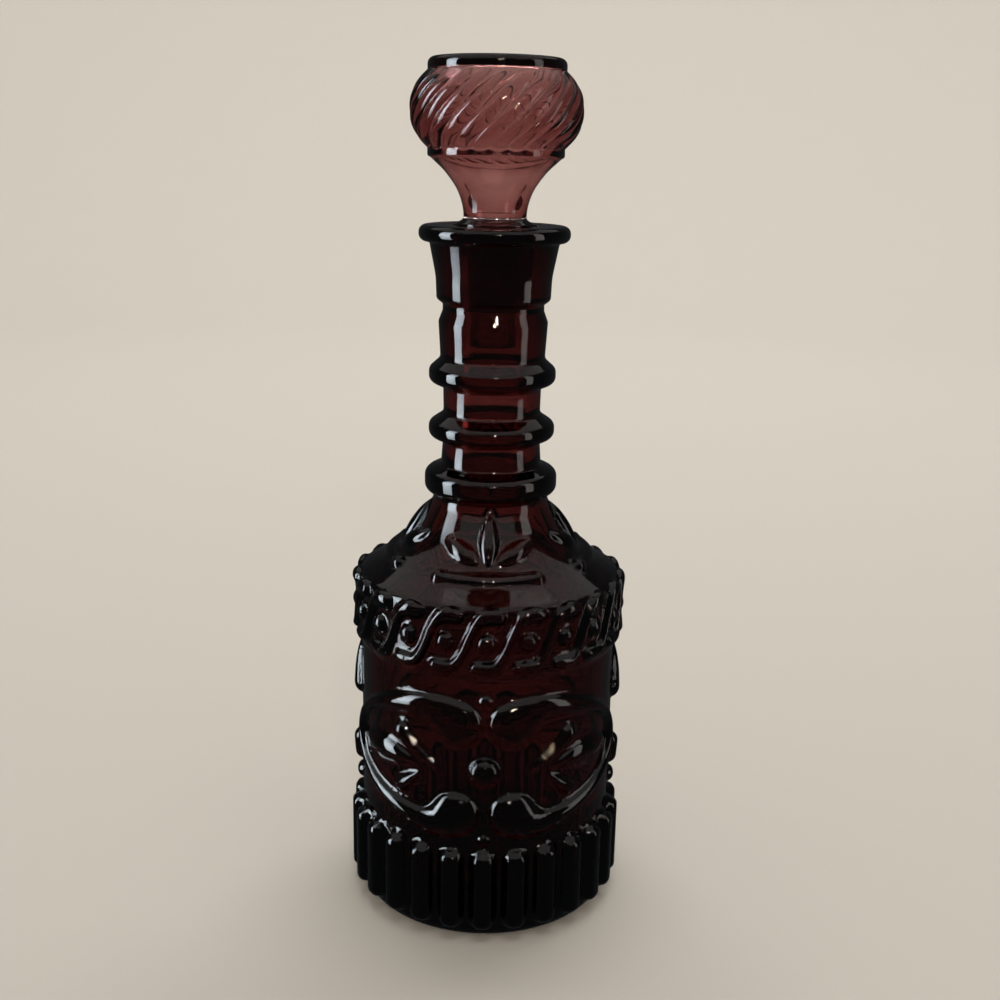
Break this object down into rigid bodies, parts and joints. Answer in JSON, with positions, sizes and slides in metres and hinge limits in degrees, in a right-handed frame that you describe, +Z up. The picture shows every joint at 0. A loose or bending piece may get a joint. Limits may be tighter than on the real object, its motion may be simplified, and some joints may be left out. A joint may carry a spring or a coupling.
{
  "type": "stoppered glass decanter",
  "caption": "Tall dark amethyst glass decanter with moulded scrolls, running-wave band, ribbed base, ringed neck and a hollow swirl-ribbed glass stopper that lifts out.",
  "frame": {"origin": "centre of the base on the floor, on the bottle's axis", "axes": "+Z up along the bottle's axis; the front scroll panel faces -Y; +X to the right seen from the front"},
  "size_m": [0.1064, 0.1072, 0.318],
  "materials": {
    "bottle_glass": "polished dark amethyst",
    "stopper_glass": "polished amethyst",
    "seal": "matt dark plastic"
  },
  "bodies": {
    "bottle": {"bottle_body": "bottle_glass"},
    "seal": {"stopper_sleeve": "seal"},
    "stopper": {"stopper_finial": "stopper_glass"}
  },
  "joints": [
    {"name": "stopper_lift", "type": "slide", "parent": "bottle", "child": "seal", "axis": [0, 0, 1], "range_m": [0, 0.08]},
    {"name": "stopper_twist", "type": "hinge", "parent": "seal", "child": "stopper", "pos_m": [0, 0, 0.26], "axis": [0, 0, 1], "continuous": true}
  ]
}
